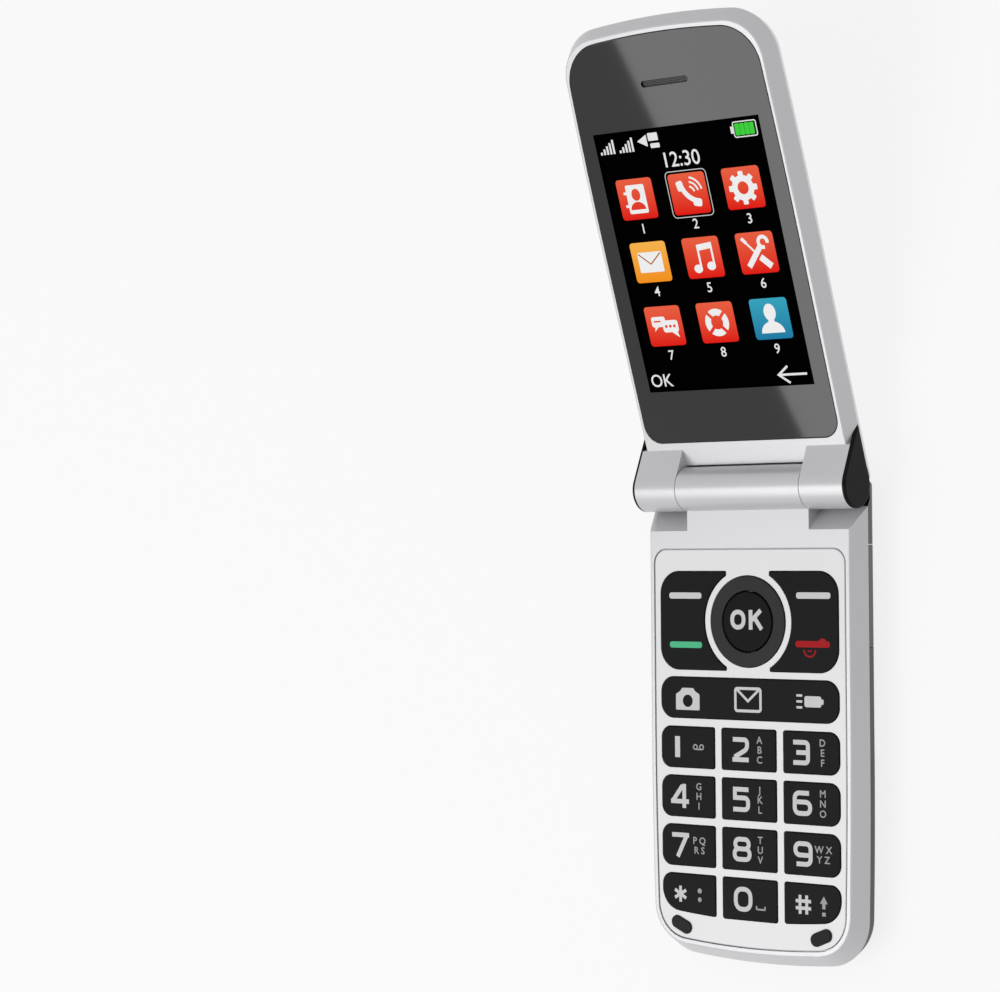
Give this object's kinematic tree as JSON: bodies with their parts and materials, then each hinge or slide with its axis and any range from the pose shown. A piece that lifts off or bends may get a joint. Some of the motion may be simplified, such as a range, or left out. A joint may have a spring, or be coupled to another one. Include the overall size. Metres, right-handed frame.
{
  "type": "flip phone",
  "caption": "Clamshell mobile phone, open on its flat back: a base with large separate keys, a hinged lid that holds the screen, and a battery cover that slides off.",
  "frame": {"origin": "centre of the base's flat back", "axes": "+X to the keypad's right, +Y from the keypad towards the hinge, +Z out of the keypad"},
  "size_m": [0.056, 0.2001, 0.0422],
  "materials": {
    "silver": "satin silver paint",
    "plate": "pearl silver, smooth",
    "key_black": "smooth black with pale legends",
    "ring_grey": "fine turned, semi-gloss",
    "lid_metal": "brushed across",
    "housing_grey": "fine texture",
    "cover_dark": "fine texture",
    "black_gloss": "polished",
    "pad_rubber": "soft",
    "silicone": "translucent",
    "lens_glass": "polished, tinted",
    "screen": "display panel",
    "clear_glass": "polished",
    "led": "frosted",
    "cell_case": "wrapped cell",
    "board": "solder mask",
    "flex": "polyimide film",
    "inner_black": "moulded",
    "sheet_steel": "plain sheet",
    "hinge_steel": "turned",
    "magnet": "nickel plated"
  },
  "bodies": {
    "base": {"base_frame": "silver", "keypad_plate": "plate", "rear_housing": "housing_grey", "camera_cover": "black_gloss", "camera_module": "inner_black", "camera_window": "clear_glass", "flash_led": "led", "battery": "cell_case", "battery_contacts": "inner_black", "main_board": "board", "dome_sheet": "flex", "keypad_mat": "silicone", "shield_can": "sheet_steel", "sim_holder": "sheet_steel", "loudspeaker": "inner_black", "vibration_motor": "sheet_steel", "usb_socket": "sheet_steel", "microphone": "sheet_steel", "antenna": "flex", "housing_screws": "hinge_steel", "rubber_pads": "pad_rubber", "hinge_can": "hinge_steel", "hinge_flex": "flex"},
    "lid": {"lid_frame": "silver", "lid_cover": "lid_metal", "lens": "lens_glass", "display_panel": "screen", "display_frame": "sheet_steel", "earpiece": "inner_black", "earpiece_mesh": "sheet_steel", "lid_board": "board", "lid_magnet": "magnet", "lid_screws": "hinge_steel", "hinge_caps": "black_gloss", "hinge_shaft": "hinge_steel", "pivot_sleeve": "hinge_steel", "display_flex": "flex"},
    "battery_cover": {"battery_cover": "cover_dark"},
    "key_1": {"key_1": "key_black"},
    "key_2": {"key_2": "key_black"},
    "key_3": {"key_3": "key_black"},
    "key_4": {"key_4": "key_black"},
    "key_5": {"key_5": "key_black"},
    "key_6": {"key_6": "key_black"},
    "key_7": {"key_7": "key_black"},
    "key_8": {"key_8": "key_black"},
    "key_9": {"key_9": "key_black"},
    "key_star": {"key_star": "key_black"},
    "key_0": {"key_0": "key_black"},
    "key_hash": {"key_hash": "key_black"},
    "ok_key": {"ok_key": "key_black"},
    "left_wing_key": {"left_wing_key": "key_black"},
    "right_wing_key": {"right_wing_key": "key_black"},
    "nav_tilt": {"nav_actuator": "silicone"},
    "nav_ring": {"nav_ring": "ring_grey"},
    "function_press": {"function_actuator": "silicone"},
    "function_bar": {"function_bar": "key_black"}
  },
  "joints": [
    {"name": "lid_hinge", "type": "hinge", "parent": "base", "child": "lid", "pos_m": [0, 0.0504, 0.0098], "axis": [1, 0, 0], "range_deg": [0, 160.4]},
    {"name": "battery_cover_slide", "type": "slide", "parent": "base", "child": "battery_cover", "axis": [0, -1, 0], "range_m": [0, 0.07]},
    {"name": "key_1_press", "type": "slide", "parent": "base", "child": "key_1", "axis": [0, 0, -1], "range_m": [0, 0.00025], "stiffness_N_per_m": 3000},
    {"name": "key_2_press", "type": "slide", "parent": "base", "child": "key_2", "axis": [0, 0, -1], "range_m": [0, 0.00025], "stiffness_N_per_m": 3000},
    {"name": "key_3_press", "type": "slide", "parent": "base", "child": "key_3", "axis": [0, 0, -1], "range_m": [0, 0.00025], "stiffness_N_per_m": 3000},
    {"name": "key_4_press", "type": "slide", "parent": "base", "child": "key_4", "axis": [0, 0, -1], "range_m": [0, 0.00025], "stiffness_N_per_m": 3000},
    {"name": "key_5_press", "type": "slide", "parent": "base", "child": "key_5", "axis": [0, 0, -1], "range_m": [0, 0.00025], "stiffness_N_per_m": 3000},
    {"name": "key_6_press", "type": "slide", "parent": "base", "child": "key_6", "axis": [0, 0, -1], "range_m": [0, 0.00025], "stiffness_N_per_m": 3000},
    {"name": "key_7_press", "type": "slide", "parent": "base", "child": "key_7", "axis": [0, 0, -1], "range_m": [0, 0.00025], "stiffness_N_per_m": 3000},
    {"name": "key_8_press", "type": "slide", "parent": "base", "child": "key_8", "axis": [0, 0, -1], "range_m": [0, 0.00025], "stiffness_N_per_m": 3000},
    {"name": "key_9_press", "type": "slide", "parent": "base", "child": "key_9", "axis": [0, 0, -1], "range_m": [0, 0.00025], "stiffness_N_per_m": 3000},
    {"name": "key_star_press", "type": "slide", "parent": "base", "child": "key_star", "axis": [0, 0, -1], "range_m": [0, 0.00025], "stiffness_N_per_m": 3000},
    {"name": "key_0_press", "type": "slide", "parent": "base", "child": "key_0", "axis": [0, 0, -1], "range_m": [0, 0.00025], "stiffness_N_per_m": 3000},
    {"name": "key_hash_press", "type": "slide", "parent": "base", "child": "key_hash", "axis": [0, 0, -1], "range_m": [0, 0.00025], "stiffness_N_per_m": 3000},
    {"name": "ok_press", "type": "slide", "parent": "base", "child": "ok_key", "axis": [0, 0, -1], "range_m": [0, 0.00025], "stiffness_N_per_m": 3000},
    {"name": "left_wing_rock", "type": "hinge", "parent": "base", "child": "left_wing_key", "pos_m": [-0.01455, 0.0217, 0.0089], "axis": [1, 0, 0], "range_deg": [-1.2, 1.2], "stiffness_Nm_per_rad": 0.7},
    {"name": "right_wing_rock", "type": "hinge", "parent": "base", "child": "right_wing_key", "pos_m": [0.01455, 0.0217, 0.0089], "axis": [1, 0, 0], "range_deg": [-1.2, 1.2], "stiffness_Nm_per_rad": 0.7},
    {"name": "nav_rock_updown", "type": "hinge", "parent": "base", "child": "nav_tilt", "pos_m": [0, 0.0217, 0.0089], "axis": [1, 0, 0], "range_deg": [-1.2, 1.2], "stiffness_Nm_per_rad": 0.7},
    {"name": "nav_rock_leftright", "type": "hinge", "parent": "nav_tilt", "child": "nav_ring", "pos_m": [0, 0.0217, 0.0089], "axis": [0, 1, 0], "range_deg": [-1.2, 1.2], "stiffness_Nm_per_rad": 0.7},
    {"name": "function_press", "type": "slide", "parent": "base", "child": "function_press", "axis": [0, 0, -1], "range_m": [0, 0.0002], "stiffness_N_per_m": 3000},
    {"name": "function_rock", "type": "hinge", "parent": "function_press", "child": "function_bar", "pos_m": [0, 0.00502, 0.0089], "axis": [0, 1, 0], "range_deg": [-0.5, 0.5], "stiffness_Nm_per_rad": 1.5}
  ]
}
